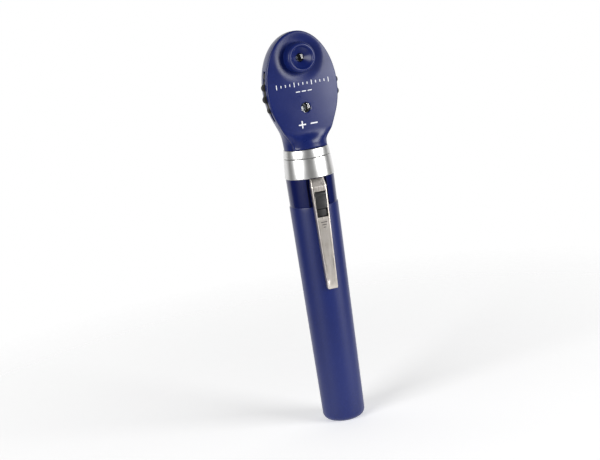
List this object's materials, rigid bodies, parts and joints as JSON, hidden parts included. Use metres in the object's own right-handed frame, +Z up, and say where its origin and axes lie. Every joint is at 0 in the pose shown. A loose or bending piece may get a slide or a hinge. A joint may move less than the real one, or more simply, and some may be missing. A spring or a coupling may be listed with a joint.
{
  "type": "pocket ophthalmoscope",
  "caption": "Pocket ophthalmoscope on a battery handle: oval head with a brow-rest eyepiece, turning lens wheel and lamp, metal collar, spring clip and slide switch.",
  "frame": {"origin": "centre of the flat foot at the bottom of the battery handle", "axes": "+Z up the handle to the head, -Y out of the examiner's side, where the eyepiece ring is, +X to the right seen from that side"},
  "size_m": [0.0334, 0.0237, 0.1675],
  "materials": {
    "navy_plastic": "satin moulded plastic",
    "satin_aluminium": "satin turned",
    "satin_nickel": "satin nickel plate",
    "black_plastic": "fine spark texture",
    "black_rubber": "matt",
    "brass": "bright",
    "steel": "bright",
    "cell_jacket": "printed film",
    "insulator": "satin",
    "number_card": "printed",
    "clear_glass": "polished",
    "green_glass": "polished",
    "mirror": "polished"
  },
  "bodies": {
    "handle": {"handle_tube": "navy_plastic", "collar_ring": "satin_aluminium", "threaded_sleeve": "brass", "contact_strip": "brass", "foot_spring": "steel", "battery_lower": "cell_jacket", "battery_upper": "cell_jacket", "clip_anchor": "satin_nickel"},
    "clip": {"clip_arm": "satin_nickel"},
    "switch": {"switch_slider": "black_plastic", "switch_contact": "brass"},
    "contact_base": {"contact_insulator": "insulator"},
    "plunger": {"contact_plunger": "brass", "plunger_spring": "steel"},
    "head": {"head_ring": "satin_aluminium", "head_spigot": "steel", "sealing_ring": "black_rubber", "front_shell": "navy_plastic", "back_shell": "navy_plastic", "shell_screws": "steel", "eye_ring": "navy_plastic", "sight_glass": "clear_glass", "window_lens": "clear_glass", "lamp_holder": "black_plastic", "lamp_base": "brass", "lamp_glass": "clear_glass", "condenser_lens": "clear_glass", "objective_lens": "clear_glass", "optics_chassis": "black_plastic", "mirror_block": "black_plastic", "mirror": "mirror", "exit_window": "clear_glass", "detent_ball": "steel", "detent_leaf": "steel", "wheel_axle": "steel", "aperture_axle": "steel"},
    "lens_wheel": {"wheel_disc": "black_plastic", "wheel_rim": "black_rubber", "number_ring": "number_card", "plus_lenses": "clear_glass", "minus_lenses": "clear_glass"},
    "aperture": {"aperture_wheel": "black_plastic", "green_filter": "green_glass"}
  },
  "joints": [
    {"name": "clip_flex", "type": "hinge", "parent": "handle", "child": "clip", "pos_m": [-0.00108, -0.01235, 0.1036], "axis": [-0.9962, 0.0872, 0], "range_deg": [0, 6], "stiffness_Nm_per_rad": 1},
    {"name": "switch_slide", "type": "slide", "parent": "handle", "child": "switch", "axis": [0, 0, -1], "range_m": [0, 0.0035]},
    {"name": "head_lift", "type": "slide", "parent": "handle", "child": "contact_base", "axis": [0, 0, 1], "range_m": [0, 0.0083]},
    {"name": "head_turn", "type": "hinge", "parent": "contact_base", "child": "head", "pos_m": [0, 0, 0.1154], "axis": [0, 0, 1], "range_deg": [0, 990]},
    {"name": "contact_press", "type": "slide", "parent": "contact_base", "child": "plunger", "axis": [0, 0, 1], "range_m": [0, 0.001], "stiffness_N_per_m": 800, "deforming": ["plunger_spring"]},
    {"name": "lens_wheel_turn", "type": "hinge", "parent": "head", "child": "lens_wheel", "pos_m": [0, -0.0038, 0.1435], "axis": [0, 1, 0], "continuous": true},
    {"name": "aperture_turn", "type": "hinge", "parent": "head", "child": "aperture", "pos_m": [0, 0.0052, 0.137], "axis": [0, 0, 1], "continuous": true}
  ],
  "couplings": [
    {"joint": "head_lift", "follows": "head_turn", "m_per_rad": 0.00047746}
  ]
}
